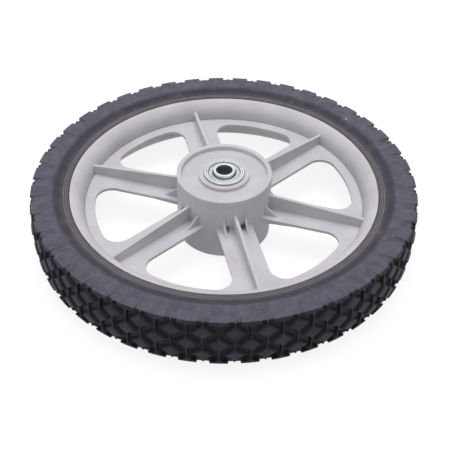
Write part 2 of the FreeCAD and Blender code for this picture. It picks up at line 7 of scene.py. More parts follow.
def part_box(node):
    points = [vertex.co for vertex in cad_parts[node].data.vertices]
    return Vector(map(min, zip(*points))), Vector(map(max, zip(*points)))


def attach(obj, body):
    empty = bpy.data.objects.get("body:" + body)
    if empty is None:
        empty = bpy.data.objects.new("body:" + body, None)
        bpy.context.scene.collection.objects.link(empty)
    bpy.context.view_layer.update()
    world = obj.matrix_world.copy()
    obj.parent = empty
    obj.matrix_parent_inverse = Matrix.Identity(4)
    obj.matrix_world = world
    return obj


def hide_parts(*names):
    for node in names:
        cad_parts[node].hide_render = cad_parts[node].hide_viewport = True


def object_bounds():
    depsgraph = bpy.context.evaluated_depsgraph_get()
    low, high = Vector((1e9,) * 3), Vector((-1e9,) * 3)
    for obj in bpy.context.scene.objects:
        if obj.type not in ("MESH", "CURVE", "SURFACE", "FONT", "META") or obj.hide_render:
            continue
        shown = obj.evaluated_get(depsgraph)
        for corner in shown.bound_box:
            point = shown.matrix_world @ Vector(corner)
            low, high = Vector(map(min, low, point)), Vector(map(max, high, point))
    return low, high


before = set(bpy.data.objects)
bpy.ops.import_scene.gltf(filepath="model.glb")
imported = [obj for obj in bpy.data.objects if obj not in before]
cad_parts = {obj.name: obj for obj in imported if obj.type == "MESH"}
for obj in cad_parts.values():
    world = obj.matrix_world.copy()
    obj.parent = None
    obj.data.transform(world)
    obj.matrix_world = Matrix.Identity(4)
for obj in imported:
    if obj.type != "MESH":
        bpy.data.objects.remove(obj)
cad_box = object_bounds()

# Wheel
# One injection moulding in light grey polypropylene: rim channel, web with six spokes, ribs, gussets
# and hub. The tool leaves small radii on every edge, a fine even grain and faint flow marks.

MM = 0.001
edge_radius = 0.6 * MM


def srgb(red, green, blue):
    """Turns a colour given as 0 to 255 screen values into linear values with full alpha."""
    screen = np.array([red, green, blue]) / 255
    linear = np.where(screen <= 0.04045, screen / 12.92, ((screen + 0.055) / 1.055) ** 2.4)
    return (*linear.tolist(), 1.0)


def fill(tree, sockets, values):
    """Sets each named socket to a value, or links an output to it."""
    for name, value in values.items():
        if isinstance(value, bpy.types.NodeSocket):
            tree.links.new(value, sockets[name])
        else:
            sockets[name].default_value = value


def add(tree, kind, inputs=None, **settings):
    """Adds a shader node with its settings and inputs."""
    made = tree.nodes.new("ShaderNode" + kind)
    for name, value in settings.items():
        setattr(made, name, value)
    fill(tree, made.inputs, inputs or {})
    return made


def math(tree, operation, first, second=0.0, third=0.0):
    """Adds a Math node and returns its value."""
    return add(tree, "Math", {0: first, 1: second, 2: third}, operation=operation).outputs[0]


def times(tree, first, *others):
    """Multiplies values together."""
    for other in others:
        first = math(tree, "MULTIPLY", first, other)
    return first


def larger(tree, first, second):
    """Takes the larger of two values."""
    return math(tree, "MAXIMUM", first, second)


def scaled(tree, value, gain, base):
    """Multiplies a value by a gain and adds a base."""
    return math(tree, "MULTIPLY_ADD", value, gain, base)


def blend(tree, factor, first, second):
    """Adds a colour mix and returns its colour. A factor of 0 gives the first colour."""
    return add(tree, "Mix", {0: factor, 6: first, 7: second}, data_type="RGBA").outputs[2]


def ramp(tree, value, low, high):
    """Maps a value so that low becomes 0 and high becomes 1, eased and clamped."""
    inputs = {"Value": value, "From Min": low, "From Max": high}
    return add(tree, "MapRange", inputs, interpolation_type="SMOOTHSTEP").outputs[0]


def fade(tree, value, low, high):
    """Maps a value so that low becomes 1 and high becomes 0, eased and clamped."""
    return math(tree, "SUBTRACT", 1.0, ramp(tree, value, low, high))


def line_at(tree, value, middle, half_width):
    """Mask of a thin line: 1 in the inner quarter of its half width, and 0 from the half width on."""
    apart = math(tree, "ABSOLUTE", math(tree, "SUBTRACT", value, middle))
    return fade(tree, apart, half_width / 4, half_width)


def spot_at(tree, place, centre, radius):
    """Mask of a small round spot: 1 up to six tenths of its radius, and 0 from the radius on."""
    away = add(tree, "VectorMath", {0: place, 1: centre}, operation="DISTANCE").outputs["Value"]
    return fade(tree, away, 0.6 * radius, radius)


def from_axle(tree, place):
    """Splits a place into its distance from the axle, the root of x squared plus y squared, and height."""
    apart = add(tree, "SeparateXYZ", {"Vector": place}).outputs
    squares = math(tree, "ADD", math(tree, "POWER", apart["X"], 2.0), math(tree, "POWER", apart["Y"], 2.0))
    return math(tree, "SQRT", squares), apart["Z"]


def new_group(name, inputs, outputs):
    """Starts a shader node group with its named sockets and returns it with its two end nodes."""
    tree = bpy.data.node_groups.new(name, "ShaderNodeTree")
    for label, kind in inputs.items():
        tree.interface.new_socket(label, in_out="INPUT", socket_type="NodeSocket" + kind)
    for label in outputs:
        tree.interface.new_socket(label, in_out="OUTPUT", socket_type="NodeSocketFloat")
    return tree, tree.nodes.new("NodeGroupInput").outputs, tree.nodes.new("NodeGroupOutput").inputs


def place_group(tree, group, inputs):
    """Places a shader node group in a material with its own values and returns its outputs."""
    made = add(tree, "Group", node_tree=group)
    fill(tree, made.inputs, inputs)
    return made.outputs


def new_material(name):
    """Starts a material and returns it with its node tree, Principled inputs and Object coordinates."""
    material = bpy.data.materials.new(name)
    material.use_nodes = True
    tree = material.node_tree
    shader = next(item for item in tree.nodes if item.type == "BSDF_PRINCIPLED")
    return material, tree, shader.inputs, add(tree, "TexCoord").outputs["Object"]


def noise(tree, place, size, detail=3.0):
    """Adds noise whose features are about a given size across, in metres, and returns its value."""
    scale = math(tree, "DIVIDE", 1.0, size) if isinstance(size, bpy.types.NodeSocket) else 1 / size
    return add(tree, "TexNoise", {"Vector": place, "Scale": scale, "Detail": detail}).outputs[0]


scuff_stretch, scuff_turn = (40.0, 260.0, 90.0), (0.3, 0.2, 0.9)
scuff_half_width = 0.012
wave_gain = 3.0


def moulded_surface():
    """Builds the finish that a mould leaves. Height is fine grain plus a gain of broad waves, Cloud is a
    slow mask from 0 to 1, and Marks picks out thin scuffs where stretched noise nears its middle value."""
    inputs = {"Place": "Vector", "Grain Size": "Float", "Wave Size": "Float"}
    tree, given, result = new_group("moulded_surface", inputs, ("Height", "Cloud", "Marks"))
    fine = noise(tree, given["Place"], given["Grain Size"], 2.0)
    broad = noise(tree, given["Place"], given["Wave Size"])
    stretch = {"Vector": given["Place"], "Scale": scuff_stretch, "Rotation": scuff_turn}
    streaks = noise(tree, add(tree, "Mapping", stretch).outputs[0], 1.0, 4.0)
    marks = times(tree, line_at(tree, streaks, 0.5, scuff_half_width), ramp(tree, broad, 0.52, 0.68))
    height = scaled(tree, broad, wave_gain, fine)
    fill(tree, result, {"Height": height, "Cloud": ramp(tree, broad, 0.35, 0.65), "Marks": marks})
    return tree


def uneven_patches():
    """Builds patches of dust, wear or stain: noise of a given size, eased from 0 at Low to 1 at High."""
    inputs = {"Place": "Vector", "Size": "Float", "Low": "Float", "High": "Float", "Detail": "Float"}
    tree, given, result = new_group("uneven_patches", inputs, ("Mask",))
    cloud = noise(tree, given["Place"], given["Size"], given["Detail"])
    tree.links.new(ramp(tree, cloud, given["Low"], given["High"]), result["Mask"])
    return tree


moulded, uneven = moulded_surface(), uneven_patches()


def patches(tree, place, size, low, high, detail=3.0):
    """Places the uneven patches in a material with their own values and returns their mask."""
    inputs = {"Place": place, "Size": size, "Low": low, "High": high, "Detail": detail}
    return place_group(tree, uneven, inputs)["Mask"]


def tint(tree, colour, other, mask, strength):
    """Lays another colour over a colour where a mask is, at a strength from 0 to 1."""
    return blend(tree, times(tree, mask, strength), colour, other)


wheel_grey = srgb(204, 201, 206)
wheel_grey_dull = srgb(196, 193, 198)
scuff_grey = srgb(214, 212, 217)
stain_tan = srgb(176, 168, 160)
# A darker line in the corner of web and rim, and a painted contact shadow round the bearing's flange.
corner_darkening = srgb(138, 134, 134)
# Painted shade, with some grime, in the corners at the barrel's foot between rib and gusset.
corner_shade_and_grime = srgb(58, 62, 61)
gate_grey = srgb(140, 139, 142)
gate_mark, gate_radius = Vector((14.46, -27.65, 26.05)) * MM, 1.3 * MM
barrel_radius = 37.2 * MM
barrel_line, faint_barrel_line = 25.3 * MM, 22.7 * MM
seam_half_width = 0.5 * MM
seam_strength, gate_strength, mark_depth = 0.35, 0.45, 8.0
web_top = 3.0 * MM
rim_foot = 110.5 * MM
flange_foot = 16.05 * MM
hub_face = 26.05 * MM
spoke_turn, half_spoke_step = np.radians([43.5, 30])
# Painted shade, with some grime, lies in bands, each from a low to a high value with a soft edge, and thins
# out from the barrel.
corner_shade_beside_rib = (5.5 * MM, 7.6 * MM, 2.2 * MM)
corner_shade_height = (2.6 * MM, 4.6 * MM, 3.4 * MM)
corner_shade_end = (38.8 * MM, 42.6 * MM)
# Patches are given by their size, the noise values where they start and are full, and their detail.
stain_patches = (38 * MM, 0.56, 0.74)


def beside_spoke(tree, place, out):
    """Distance to the side of the nearest spoke's rib: the azimuth past that rib, times the distance out."""
    apart = add(tree, "SeparateXYZ", {"Vector": place}).outputs
    azimuth = math(tree, "SUBTRACT", math(tree, "ARCTAN2", apart["Y"], apart["X"]), spoke_turn)
    past_rib = math(tree, "WRAP", azimuth, half_spoke_step, -half_spoke_step)
    return times(tree, math(tree, "ABSOLUTE", past_rib), out)


def between(tree, value, low, high, soft):
    """Mask of a band: 1 from low to high, fading out over a soft edge outside them."""
    return times(tree, ramp(tree, value, low - soft, low), fade(tree, value, high, high + soft))


def plastic_material():
    """Light grey polypropylene: cloudy grey with pale scuffs and faint warm stains, a fine grain in the
    bump, the gate's mark on the hub face and a faint line where the tool's parts met on the barrel. Painted
    shade, with some grime, lies at the barrel's foot between rib and gusset. A darker line runs in the
    corner of web and rim, and a painted contact shadow lies round the bearing's flange."""
    material, tree, shader, place = new_material("grey_polypropylene")
    skin = place_group(tree, moulded, {"Place": place, "Grain Size": 0.5 * MM, "Wave Size": 26 * MM})
    out, height = from_axle(tree, place)
    colour = blend(tree, skin["Cloud"], wheel_grey_dull, wheel_grey)
    colour = tint(tree, colour, scuff_grey, skin["Marks"], strength=0.3)
    colour = tint(tree, colour, stain_tan, patches(tree, place, *stain_patches), strength=0.25)

    at_web = line_at(tree, height, web_top, half_width=0.5 * MM)
    at_rim = times(tree, line_at(tree, out, rim_foot, half_width=1.0 * MM), at_web)
    colour = tint(tree, colour, corner_darkening, at_rim, strength=0.6)
    on_boss = ramp(tree, height, hub_face, hub_face + MM)
    # Painted contact shadow round the bearing's flange.
    at_flange = times(tree, line_at(tree, out, flange_foot, half_width=0.6 * MM), on_boss)
    colour = tint(tree, colour, corner_darkening, at_flange, strength=0.7)

    # Painted shade, with some grime, at the barrel's foot between rib and gusset.
    aside = between(tree, beside_spoke(tree, place, out), *corner_shade_beside_rib)
    low_down = times(tree, fade(tree, out, *corner_shade_end), between(tree, height, *corner_shade_height))
    cloudy = scaled(tree, skin["Cloud"], gain=0.35, base=0.5)
    colour = tint(tree, colour, corner_shade_and_grime, times(tree, aside, low_down), strength=cloudy)

    faint_seam = times(tree, line_at(tree, height, faint_barrel_line, seam_half_width), 0.5)
    seam = larger(tree, line_at(tree, height, barrel_line, seam_half_width), faint_seam)
    seam = times(tree, seam, line_at(tree, out, barrel_radius, half_width=0.6 * MM))
    gate = spot_at(tree, place, gate_mark, gate_radius)
    marked = larger(tree, times(tree, seam, seam_strength), times(tree, gate, gate_strength))
    tree.links.new(blend(tree, marked, colour, gate_grey), shader["Base Color"])
    tree.links.new(scaled(tree, skin["Cloud"], gain=0.08, base=0.44), shader["Roughness"])
    shader["Specular IOR Level"].default_value = 0.4
    dented = scaled(tree, marked, gain=-mark_depth, base=skin["Height"])
    bump = add(tree, "Bump", {"Height": dented, "Strength": 0.25, "Distance": 0.03 * MM})
    tree.links.new(bump.outputs[0], shader["Normal"])
    return material


merge_distance = 0.002 * MM
flat_angle, sharp_angle = np.radians([0.6, 28])


def rounded_copy(node, name, radius, segments):
    """Copies a node's mesh, merges its loose triangles into whole faces and rounds its sharp edges."""
    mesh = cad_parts[node].data.copy()
    shell = bmesh.new()
    shell.from_mesh(mesh)
    bmesh.ops.remove_doubles(shell, verts=shell.verts, dist=merge_distance)
    bmesh.ops.dissolve_limit(shell, angle_limit=flat_angle, verts=shell.verts, edges=shell.edges)
    shell.to_mesh(mesh)
    shell.free()
    mesh.name = name
    mesh.shade_smooth()
    piece = bpy.data.objects.new(name, mesh)
    bpy.context.collection.objects.link(piece)
    bevel = piece.modifiers.new("rounded_edges", "BEVEL")
    bevel.width = radius
    bevel.segments = segments
    bevel.limit_method = "ANGLE"
    bevel.angle_limit = sharp_angle
    bevel.use_clamp_overlap = True
    bevel.harden_normals = True
    return piece


wheel = rounded_copy("wheel", "wheel_moulding", edge_radius, 2)
wheel.data.materials.clear()
wheel.data.materials.append(plastic_material())
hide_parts("wheel")
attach(wheel, "wheel_and_tyre")

# Tyre
# Black rubber moulded in two halves that meet round the middle of the tread: three rows of diamond
# blocks, arrow-nosed shoulder blocks and thin ribs along each column. It is stretched into the rim.

block_count = 43
half_pitch = np.pi / block_count
tread_turn = np.radians(1.2)
tyre_radius = 152.4 * MM
half_tread = (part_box("tyre")[1][2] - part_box("tyre")[0][2]) / 2
crown_drop = 1.8 * MM
groove_depth = 2.8 * MM
notch_height = half_tread - 1.4 * MM
notch_inset = 1.7 * MM
notch_fade_radius = 136 * MM
corner_rounding = 0.8 * MM
hollow_outer, hollow_inner = 134.4 * MM, 127.4 * MM
hollow_dip, hollow_bow = 2.1 * MM, 0.75 * MM
seat_centre, seat_height, seat_arc = 124.46 * MM, 5.0 * MM, 10.36 * MM
seat_knee = np.radians(108.9)

diamond_half_length = 9.4 * MM
diamond_half_width = 7.4 * MM
row_offset = 10.9 * MM
nose_offset = 14.4 * MM
shoulder_root = 18.5 * MM
shoulder_half_length = 6.65 * MM
wall_run = 0.3 * MM
rib_half = 0.6 * MM
rib_share = 0.79
rib_fade_start, rib_fade_run = 0.09, 0.14
block_softness, shoulder_softness, rib_softness, fade_softness = 0.07, 0.06, 0.1, 0.05
wall_slope = np.tan(np.radians(28))
block_sink = 0.6 * MM
flash_height, flash_width = 0.2 * MM, 0.16 * MM

tread_stations = np.array([
    0, 0.14, 0.4, 1.2, 2.2, 3.1, 3.9, 4.5, 5.1, 5.7, 6.3, 7.0, 7.9, 8.9, 9.9, 10.9, 11.9,
    12.9, 13.9, 14.7, 15.4, 16.0, 16.7, 17.3, 17.9, 18.4]) * MM
bead_corners = np.array([
    [126.9, 18.6], [126.3, 18.35], [125.5, 18.3], [123.2, 18.1], [121.6, 17.9], [121.2, 17.5]]) * MM


def crown(height, arc_inset=0.0):
    """Radius of the crown at a height: an arc across the tread that drops by crown_drop at its edges."""
    arc = (half_tread**2 + crown_drop**2) / (2 * crown_drop) - arc_inset
    return tyre_radius - arc_inset - arc + np.sqrt(arc**2 - height**2)


def section_lines():
    """Works out the upper half of the section as stations from the middle of the tread to the middle of
    the seat. Each has a point on the groove floor, a point on the outer skin, its height across the
    tread and a share along the shoulder (0 on the tread, 1 where the notch has faded out)."""
    tread_floor = np.stack([crown(tread_stations, groove_depth), tread_stations], 1)
    tread_skin = np.stack([crown(tread_stations), tread_stations], 1)

    root = np.array([[crown(shoulder_root), shoulder_root]])
    corner = np.array([crown(half_tread), half_tread])
    lip = np.array([crown(notch_height, notch_inset), notch_height])
    faded = np.array([notch_fade_radius, half_tread])
    turn = np.linspace(0, np.pi / 2, 5)[:, None]
    bend = corner + corner_rounding * (np.hstack([np.cos(turn), np.sin(turn)]) - 1)
    side = bend[-1] + (faded - bend[-1]) * np.linspace(0, 1, 10)[1:, None] ** 0.8
    shoulder_skin = np.concatenate([root, bend, side])
    length = np.append(0, np.cumsum(np.linalg.norm(np.diff(shoulder_skin, axis=0), axis=1)))
    run = length / length[-1]
    shoulder_floor = lip + (faded - lip) * run[:, None]

    sweep = np.linspace(0, 1, 6)
    sag = hollow_dip * sweep + 4 * sweep * (1 - sweep) * hollow_bow
    hollow = np.stack([hollow_outer + (hollow_inner - hollow_outer) * sweep, half_tread - sag], 1)
    belly = np.linspace(seat_knee, np.pi, 4)
    seat = np.stack([seat_centre + seat_arc * np.cos(belly), seat_height + seat_arc * np.sin(belly)], 1)
    plain = np.concatenate([hollow, bead_corners, seat, [[seat_centre - seat_arc, 0]]])

    floor = np.concatenate([tread_floor, shoulder_floor, plain])
    skin = np.concatenate([tread_skin, shoulder_skin, plain])
    height = np.concatenate([tread_stations, np.full(len(run) + len(plain), half_tread)])
    share = np.concatenate([np.zeros(len(tread_stations)), run, np.ones(len(plain))])
    return floor, skin, height, share


def soft_clip(value, softness):
    """Clips to 0 and 1 with rounded corners: half the difference of two hyperbolas, plus a half."""
    rise = np.sqrt(value**2 + softness**2)
    drop = np.sqrt((value - 1) ** 2 + softness**2)
    return 0.5 * (rise - drop + 1)


slant = diamond_half_length * diamond_half_width / np.hypot(diamond_half_length, diamond_half_width)
inset_at_floor = block_sink * wall_slope
inset_at_top = (groove_depth + block_sink) * wall_slope


def diamond_half(inset, offset):
    """Half length of a diamond at an offset from its middle, measured to a given inset from its edge."""
    return diamond_half_length * (1 - np.abs(offset) / diamond_half_width - inset / slant)


def nose_half(inset, height):
    """Half length of a shoulder's arrow nose at a height, measured to a given inset from its edge."""
    return diamond_half_length * ((height - nose_offset) / diamond_half_width - inset / slant)


def block_inset(along, step, height):
    """Distance inside the edge of a tread block: how much its half length exceeds the distance along,
    times the slant over the full half length, for the block that a point is deepest inside."""
    middle = diamond_half(0, height) - along
    outer = diamond_half(0, height - row_offset) - (step - along)
    nose = nose_half(0, height) - along
    return np.maximum.reduce([middle, outer, nose]) * slant / diamond_half_length


def relief(along, step, height, share):
    """How far the tread rises from the groove floor (0) to the outer skin (1), at a distance along from
    a column of middle diamonds: the highest of the blocks and ribs that stand there. Each block is a
    plateau whose height grows with the inset from its edge, up to the skin."""
    rise = (block_inset(along, step, height) / wall_slope - block_sink) / groove_depth
    shoulder = soft_clip((shoulder_half_length - along) / wall_run + 0.5, shoulder_softness)
    blocks = np.where(height < shoulder_root, soft_clip(rise, block_softness), shoulder)
    beside_rib = np.minimum(along, step - along)
    fading = rib_share * (1 - soft_clip((share - rib_fade_start) / rib_fade_run, fade_softness))
    ribs = soft_clip((rib_half - beside_rib) / wall_run + 0.5, rib_softness) * fading
    return np.clip(np.maximum(blocks, ribs), 0, 1)


dust_width, dust_share = 0.3 * MM, 0.06


def edge_nearness(along, share, rise):
    """How near a point is to the edge of a side panel: bell curves of its distance from the wall between
    two panels and, on a sunken panel, of its share along the shoulder past the panel's outer end."""
    apart = shoulder_half_length - wall_run / 2 - along
    at_end = (1 - rise) * np.exp(-((share / dust_share) ** 2))
    return np.maximum(np.exp(-((apart / dust_width) ** 2)), at_end)


def column_knots(step, height):
    """Distances along half a pitch where the surface bends, so that the grid follows the blocks' edges:
    the edge and foot of the block on the first column, the groove, then those of the next column."""
    insets = (inset_at_top, inset_at_floor)
    near = [np.maximum(diamond_half(inset, height), nose_half(inset, height)) for inset in insets]
    far = [diamond_half(inset, height - row_offset) for inset in insets]
    near_top, far_top = (np.maximum(edge[0], rib_half) for edge in (near, far))
    near_foot, far_foot = (np.maximum(edge[1], rib_half + wall_run) for edge in (near, far))
    small, large = 0.2 * MM, 0.32 * MM
    groove = (near_foot + step - far_foot) / 2
    on_tread = [
        0 * step, near_top - small, near_top + small, near_foot - small, near_foot + large, groove,
        step - far_foot - large, step - far_foot + small,
        step - far_top - small, step - far_top + small, step]
    wall = shoulder_half_length + np.array([-0.65, -0.15, 0.1, 0.3]) * MM
    rib = rib_half + np.array([0.4, 0.2, 0.1, -0.1]) * MM
    on_shoulder = [
        0 * step, *(0 * step + part for part in wall), (wall[-1] + step) / 2,
        *(step - part for part in rib), step]
    knots = np.where(height < shoulder_root, np.stack(on_tread), np.stack(on_shoulder)).T
    return np.clip(np.maximum.accumulate(knots, axis=1), 0, step[:, None])


def carried_round(half):
    """Mirrors values over half a pitch to a whole pitch and repeats them for every pitch."""
    pitch = np.concatenate([half, half[:, -2:0:-1]], 1)
    return np.tile(pitch, (1, block_count) + (1,) * (half.ndim - 2))


panel_end = 0.9
corner_share, corner_blend, sunken_side = 0.13, 0.04, 0.9


def tyre_surface():
    """Builds the tyre as one closed grid: section stations by columns round the axle. A point is the
    floor point plus its relief times the way to the skin point, turned to the column's azimuth. The
    lower half mirrors the upper one. Edge, side and raised are masks that the rubber reads."""
    floor, skin, height, share = section_lines()
    radius = skin[:, 0]
    step = half_pitch * radius
    along = column_knots(step, height)
    level, shoulder, width = height[:, None], share[:, None], step[:, None]
    rise = relief(along, width, level, shoulder)
    section = floor[:, None] + rise[..., None] * (skin - floor)[:, None]
    section[..., 0] += flash_height * np.exp(-((level / flash_width) ** 2))
    section = carried_round(section)

    turn = along / radius[:, None]
    turn = np.concatenate([turn, 2 * half_pitch - turn[:, -2:0:-1]], 1)
    pitches = tread_turn + 2 * half_pitch * np.arange(block_count)
    azimuth = (pitches[None, :, None] + turn[:, None, :]).reshape(len(turn), -1)
    out, up = section[..., 0], section[..., 1]
    upper = np.stack([out * np.cos(azimuth), out * np.sin(azimuth), up], 2)
    points = np.concatenate([upper, upper[-2:0:-1] * np.array([1, 1, -1])])
    on_panel = (level > shoulder_root) & (shoulder < panel_end)
    edge = carried_round(edge_nearness(along, shoulder, rise) * on_panel)
    past_corner = (shoulder - corner_share * rise) / corner_blend + sunken_side * (1 - rise)
    side = carried_round(np.clip(past_corner, 0, 1) * (level > shoulder_root))
    raised = carried_round(rise)
    return points, *(np.concatenate([part, part[-2:0:-1]]) for part in (edge, side, raised))


def closed_grid(name, points):
    """Makes a piece from a grid of points that closes on itself both ways, with faces outwards. Broad
    faces set the normals, so that flats stay flat between narrow rounded edges."""
    lines, columns = points.shape[:2]
    line, column = np.meshgrid(np.arange(lines), np.arange(columns), indexing="ij")
    next_line, next_column = (line + 1) % lines, (column + 1) % columns
    corners = [line * columns + column, line * columns + next_column,
               next_line * columns + next_column, next_line * columns + column]
    mesh = bpy.data.meshes.new(name)
    mesh.from_pydata(points.reshape(-1, 3), [], np.stack(corners, 2).reshape(-1, 4))
    mesh.shade_smooth()
    piece = bpy.data.objects.new(name, mesh)
    bpy.context.collection.objects.link(piece)
    piece.modifiers.new("flat_panels", "WEIGHTED_NORMAL")
    return piece


def mark_points(mesh, name, values):
    """Stores one number for each point of a mesh under a name that its material reads."""
    layer = mesh.attributes.new(name, "FLOAT", "POINT")
    layer.data.foreach_set("value", np.ascontiguousarray(values, dtype=np.float32).ravel())


tread_black = srgb(29, 29, 40)
# Paler patches on the blocks: wear, partly painted sheen.
tread_worn_sheen = srgb(62, 62, 76)
# Painted shade in the grooves between the blocks.
groove_shade = srgb(9, 9, 14)
# Grey bloom with painted sheen on the tyre's sides.
sidewall_bloom_and_sheen = srgb(88, 86, 100)
sidewall_pale = srgb(118, 117, 130)
# Painted shade in the sidewall's hollow.
hollow_shade = srgb(38, 37, 43)
bead_grey = srgb(94, 94, 102)
bead_dust = srgb(126, 117, 113)
joint_brown = srgb(94, 63, 56)
field_dust = srgb(130, 121, 114)
white_fleck = srgb(214, 213, 214)
fleck_place, fleck_radius = Vector((103.91, 87.04, 20.9)) * MM, 0.9 * MM
bead_ring_pitch = 1.8 * MM
bead_end, bead_fade = 126.2 * MM, 126.9 * MM
joint_end, joint_fade = 121.7 * MM, 122.5 * MM
hollow_starts, hollow_ends = (126.4 * MM, 129.0 * MM), (131.5 * MM, 135.4 * MM)
worn_sheen_patches = (8 * MM, 0.42, 0.74, 5.0)
mottled_patches = (4 * MM, 0.4, 0.8, 6.0)
dust_patches = (7 * MM, 0.38, 0.6)
smear_patches, smear_strength = (13 * MM, 0.54, 0.76, 5.0), 0.22


def rubber_material():
    """Black rubber, worn paler on the blocks, partly as painted sheen, with painted shade in the grooves, a
    grey bloom and painted sheen on its sides, tan dust along the block edges, painted shade in the hollow,
    fine rings on the bead and a brown line at the rim that is partly painted shadow. The rings are a sine of
    the distance from the axle."""
    material, tree, shader, place = new_material("tyre_rubber")
    skin = place_group(tree, moulded, {"Place": place, "Grain Size": 0.9 * MM, "Wave Size": 10 * MM})
    edge, side, raised = (
        add(tree, "Attribute", attribute_name=name).outputs["Fac"] for name in ("edge", "side", "raised"))
    out, height = from_axle(tree, place)

    # Paler patches on the blocks: wear, partly painted sheen.
    block = tint(tree, tread_black, tread_worn_sheen, patches(tree, place, *worn_sheen_patches), strength=0.6)
    # Grey bloom with painted sheen on the sides.
    bloom_and_sheen = times(tree, side, scaled(tree, skin["Cloud"], gain=0.3, base=0.7))
    # Painted shade in the grooves between the blocks.
    colour = blend(tree, bloom_and_sheen, blend(tree, raised, groove_shade, block), sidewall_bloom_and_sheen)
    mottled = times(tree, patches(tree, place, *mottled_patches), side)
    colour = tint(tree, colour, sidewall_pale, mottled, strength=0.25)
    # Painted shade in the sidewall's hollow.
    hollow = times(tree, ramp(tree, out, *hollow_starts), fade(tree, out, *hollow_ends))
    colour = tint(tree, colour, hollow_shade, hollow, strength=0.7)

    on_bead = fade(tree, out, bead_end, bead_fade)
    wave = times(tree, math(tree, "SINE", times(tree, out, 2 * np.pi / bead_ring_pitch)), on_bead)
    dust = patches(tree, place, *dust_patches)
    colour = tint(tree, colour, bead_grey, on_bead, strength=0.75)
    in_furrows = scaled(tree, dust, gain=-0.5, base=-0.2)
    colour = tint(tree, colour, bead_dust, wave, strength=in_furrows)
    # The dark line where the bead steps down from the hollow is painted shade in that step.
    bead_line = line_at(tree, out, bead_fade, half_width=0.7 * MM)
    flash_line = line_at(tree, height, 0.0, half_width=0.35 * MM)
    shade = larger(tree, larger(tree, bead_line, flash_line), wave)
    colour = tint(tree, colour, tread_black, shade, strength=0.5)
    # The brown line where the tyre meets the rim is partly painted shadow.
    colour = tint(tree, colour, joint_brown, fade(tree, out, joint_end, joint_fade), strength=0.85)

    dusty = times(tree, edge, dust, scaled(tree, side, gain=0.45, base=0.2))
    smeared = times(tree, patches(tree, place, *smear_patches), side, smear_strength)
    colour = blend(tree, larger(tree, dusty, smeared), colour, field_dust)
    colour = blend(tree, spot_at(tree, place, fleck_place, fleck_radius), colour, white_fleck)
    tree.links.new(colour, shader["Base Color"])
    tree.links.new(scaled(tree, side, gain=-0.06, base=0.58), shader["Roughness"])
    shader["Specular IOR Level"].default_value = 0.25
    ridged = scaled(tree, wave, gain=1.5, base=skin["Height"])
    bump = add(tree, "Bump", {"Height": ridged, "Strength": 0.4, "Distance": 0.06 * MM})
    tree.links.new(bump.outputs[0], shader["Normal"])
    return material


tyre_points, *tyre_masks = tyre_surface()
tyre = closed_grid("tyre_rubber", tyre_points)
for mask_name, mask in zip(("edge", "side", "raised"), tyre_masks):
    mark_points(tyre.data, mask_name, mask)
tyre.data.materials.append(rubber_material())
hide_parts("tyre")
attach(tyre, "wheel_and_tyre")

# Bearings
# A flanged ball bearing is pressed into each end of the hub: zinc plated steel rings turned on a
# lathe, thin pressed shields crimped into the outer ring, steel balls and a nylon cage.

zinc_bright = srgb(240, 243, 250)
zinc_dull = srgb(224, 227, 236)
shield_bright = srgb(214, 217, 220)
shield_dull = srgb(194, 197, 198)
# Dark colour for painted shade in the bearing's gaps and groove, with some old grease.
dark_grease_and_shade = srgb(84, 81, 60)
ball_bright = srgb(224, 225, 229)
nylon_tan = srgb(150, 132, 98)
nylon_tan_dark = srgb(132, 114, 82)

# Sections are corners as distance from the axle, height above the flange's face, and rounding.
outer_ring_section = np.array([
    [12.7, -11.0, 0.15], [14.3, -11.0, 0.5], [14.3, -1.5, 0.1], [15.875, -1.5, 0.25], [15.875, 0.0, 0.55],
    [14.5, 0.0, 0.1], [14.4, -0.35, 0.06], [13.95, -0.35, 0.06], [13.85, -0.1, 0.08], [12.7, -0.1, 0.2],
    [12.7, -1.1, 0.05], [12.3, -1.1, 0.05], [12.3, -3.97, 0.1], [12.84, -5.5, 1.2], [12.3, -7.03, 0.1],
    [12.3, -9.9, 0.05], [12.7, -9.9, 0.05]]) * MM
inner_ring_section = np.array([
    [6.35, -11.0, 0.5], [8.5, -11.0, 0.3], [8.5, -7.03, 0.1], [7.96, -5.5, 1.2], [8.5, -3.97, 0.1],
    [8.5, 2.2, 0.4], [6.35, 2.2, 0.75]]) * MM
shield_section = np.array([
    [8.85, -1.1, 0.1], [12.65, -1.1, 0.1], [12.65, -0.6, 0.15], [11.9, -0.6, 0.1], [11.6, -0.42, 0.1],
    [10.1, -0.42, 0.1], [9.8, -0.6, 0.1], [8.85, -0.6, 0.12]]) * MM
inner_shield_drop = 9.3 * MM


def rounded_section(corners, steps=4):
    """Rounds the corners of a closed section. An arc touches its two sides at the rounding over the
    tangent of half the corner's angle, and its points turn evenly about the arc's centre."""
    spot, rounding = corners[:, :2], corners[:, 2:]
    back, ahead = (np.roll(spot, shift, axis=0) - spot for shift in (1, -1))
    back, ahead = (way / np.linalg.norm(way, axis=1, keepdims=True) for way in (back, ahead))
    half_angle = np.arccos((back * ahead).sum(1, keepdims=True)) / 2
    middle = (back + ahead) / (2 * np.cos(half_angle))
    centre = spot + middle * rounding / np.sin(half_angle)
    first, last = (spot + way * rounding / np.tan(half_angle) - centre for way in (back, ahead))
    sweep = (np.pi - 2 * half_angle)[:, None]
    share = np.linspace(0, 1, steps)[None, :, None]
    arc = np.sin((1 - share) * sweep) * first[:, None] + np.sin(share * sweep) * last[:, None]
    return (centre[:, None] + arc / np.sin(sweep)).reshape(-1, 2)


def turned_ring(name, section, around=144):
    """Turns a closed section about the axle: every point's distance goes round the full circle."""
    azimuth = np.linspace(0, 2 * np.pi, around, endpoint=False)
    out, height = section[:, :1], section[:, 1:]
    points = np.stack([out * np.cos(azimuth), out * np.sin(azimuth), height + 0 * azimuth], 2)
    return closed_grid(name, points)


